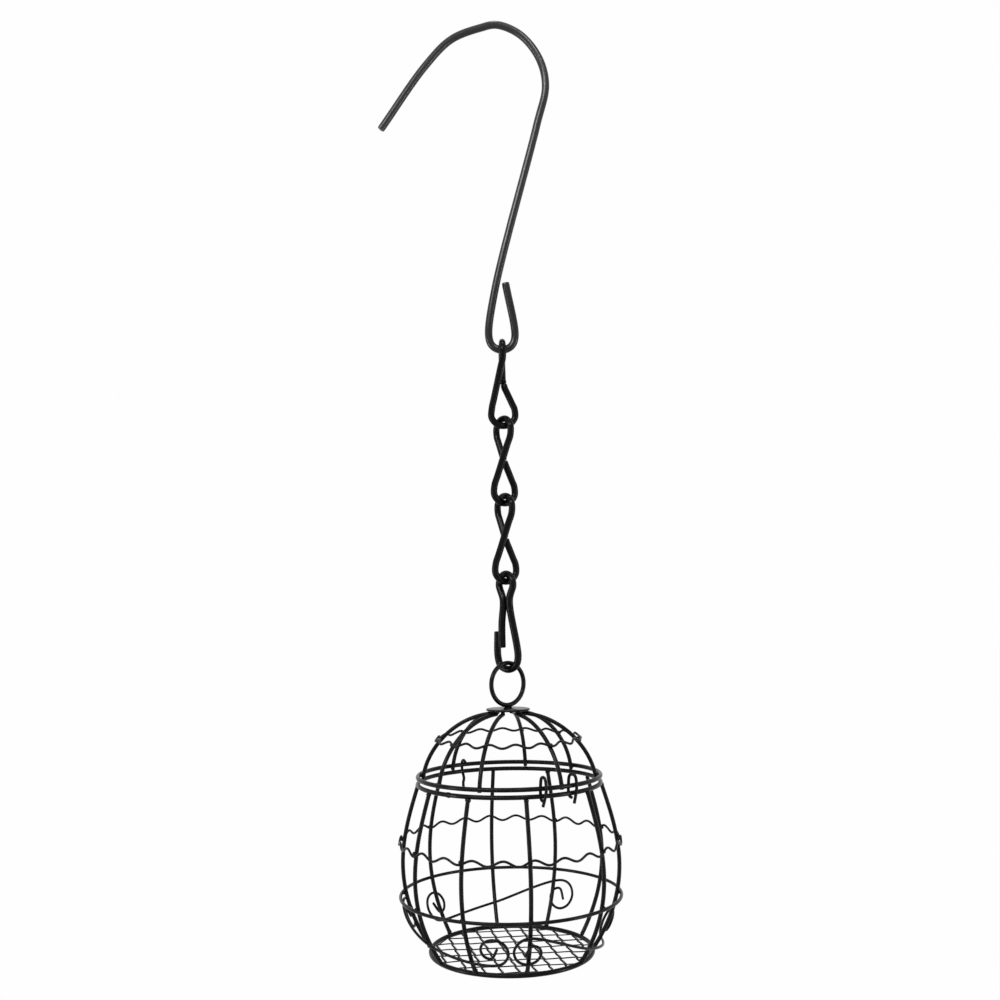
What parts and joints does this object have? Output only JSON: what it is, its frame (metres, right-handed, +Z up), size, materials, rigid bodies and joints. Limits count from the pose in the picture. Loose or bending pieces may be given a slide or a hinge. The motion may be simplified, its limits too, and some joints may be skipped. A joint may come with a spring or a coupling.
{
  "type": "fat ball feeder",
  "caption": "Round black wire cage with a wavy-hooped domed lid, a drop-open basket and a netting floor, hung by a clip and chain from a long open hook, for feeding fat balls to birds.",
  "frame": {"origin": "where a branch bears on the underside of the top of the hook, above the cage axis", "axes": "+Z up along the hanging line, +X to the right in the plane of the hook, -Y to the front"},
  "size_m": [0.11, 0.1026, 0.4416],
  "materials": {
    "hook_paint": "satin black",
    "chain_paint": "satin black",
    "cage_paint": "satin black",
    "net_paint": "matt black"
  },
  "bodies": {
    "hook": {"hanging_hook": "hook_paint"},
    "link_1": {"chain_link_1": "chain_paint"},
    "link_2": {"chain_link_2": "chain_paint"},
    "link_3": {"chain_link_3": "chain_paint"},
    "clip": {"snap_clip": "chain_paint"},
    "lid": {"hanging_ring": "cage_paint", "lid_crown": "cage_paint", "lid_rib_1": "cage_paint", "lid_rib_2": "cage_paint", "lid_rib_3": "cage_paint", "lid_rib_4": "cage_paint", "lid_rib_5": "cage_paint", "lid_rib_6": "cage_paint", "lid_rib_7": "cage_paint", "lid_rib_8": "cage_paint", "lid_wave_hoop": "cage_paint", "lid_rim": "cage_paint"},
    "basket": {"hinge_loop_1": "cage_paint", "hinge_loop_2": "cage_paint", "basket_rim": "cage_paint", "basket_rib_1": "cage_paint", "basket_rib_2": "cage_paint", "basket_rib_3": "cage_paint", "basket_rib_4": "cage_paint", "basket_rib_5": "cage_paint", "basket_rib_6": "cage_paint", "basket_rib_7": "cage_paint", "basket_rib_8": "cage_paint", "basket_rib_9": "cage_paint", "basket_rib_10": "cage_paint", "basket_wave_hoop": "cage_paint", "belly_hoop": "cage_paint", "bent_scroll_1": "cage_paint", "bent_scroll_2": "cage_paint", "bent_scroll_3": "cage_paint", "base_ring": "cage_paint", "floor_net": "net_paint"},
    "latch": {"latch_wire": "cage_paint"}
  },
  "joints": [
    {"name": "link_1_swing", "type": "hinge", "parent": "hook", "child": "link_1", "pos_m": [0, 0, -0.15965], "axis": [1, 0, 0], "range_deg": [-40, 40]},
    {"name": "link_2_swing", "type": "hinge", "parent": "link_1", "child": "link_2", "pos_m": [0, 0, -0.1927], "axis": [0.5878, -0.809, 0], "range_deg": [-40, 40]},
    {"name": "link_3_swing", "type": "hinge", "parent": "link_2", "child": "link_3", "pos_m": [0, 0, -0.233], "axis": [0.8572, 0.515, 0], "range_deg": [-40, 40]},
    {"name": "clip_swing", "type": "hinge", "parent": "link_3", "child": "clip", "pos_m": [0, 0, -0.2662], "axis": [0.6428, -0.766, 0], "range_deg": [-40, 40]},
    {"name": "cage_swing", "type": "hinge", "parent": "clip", "child": "lid", "pos_m": [0, 0, -0.30755], "axis": [0.7771, 0.6293, 0], "range_deg": [-40, 40]},
    {"name": "basket_hinge", "type": "hinge", "parent": "lid", "child": "basket", "pos_m": [0.02082, -0.0357, -0.35875], "axis": [-0.8638, -0.5038, 0], "range_deg": [0, 120]},
    {"name": "latch_swing", "type": "hinge", "parent": "lid", "child": "latch", "pos_m": [-0.02201, 0.03577, -0.35875], "axis": [0.8517, 0.524, 0], "range_deg": [0, 75]}
  ]
}
